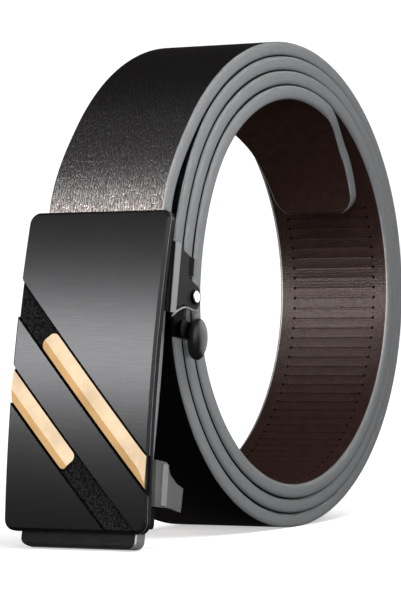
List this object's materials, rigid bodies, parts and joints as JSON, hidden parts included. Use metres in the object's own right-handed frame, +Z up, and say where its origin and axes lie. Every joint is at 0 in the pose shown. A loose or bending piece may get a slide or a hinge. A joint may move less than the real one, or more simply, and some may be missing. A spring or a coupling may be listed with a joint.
{
  "type": "ratchet belt",
  "caption": "Leather ratchet belt wound into a coil, standing on its edge with its curved slide buckle, slanting gold ornament bars and side release knob at the front",
  "frame": {"origin": "on the floor under the middle of the belt's bounding box", "axes": "X runs along the coil's axis, towards the release knob; Y from the buckle's plate to the coil's rear; Z up"},
  "size_m": [0.0478, 0.1462, 0.1291],
  "materials": {
    "strap": "fine-grained split leather, black outside and dark brown inside",
    "face_plate": "dark gunmetal plating, finely brushed across",
    "inlay": "black, finely textured",
    "gold": "polished champagne gold",
    "frame": "satin black",
    "rivet": "bright silver"
  },
  "bodies": {
    "belt": {"strap": "strap", "face_plate": "face_plate", "groove_inlay_upper": "inlay", "groove_inlay_lower": "inlay", "gold_bar_upper": "gold", "gold_bar_lower": "gold", "buckle_frame": "frame", "strap_clamp": "frame", "rivet_near": "rivet", "rivet_far": "rivet"},
    "lever": {"release_lever": "frame"}
  },
  "joints": [
    {"name": "lever_hinge", "type": "hinge", "parent": "belt", "child": "lever", "pos_m": [0, -0.05455, 0.05433], "axis": [1, 0, 0], "range_deg": [0, 12], "stiffness_Nm_per_rad": 0.02, "springref_deg": -11.46}
  ]
}
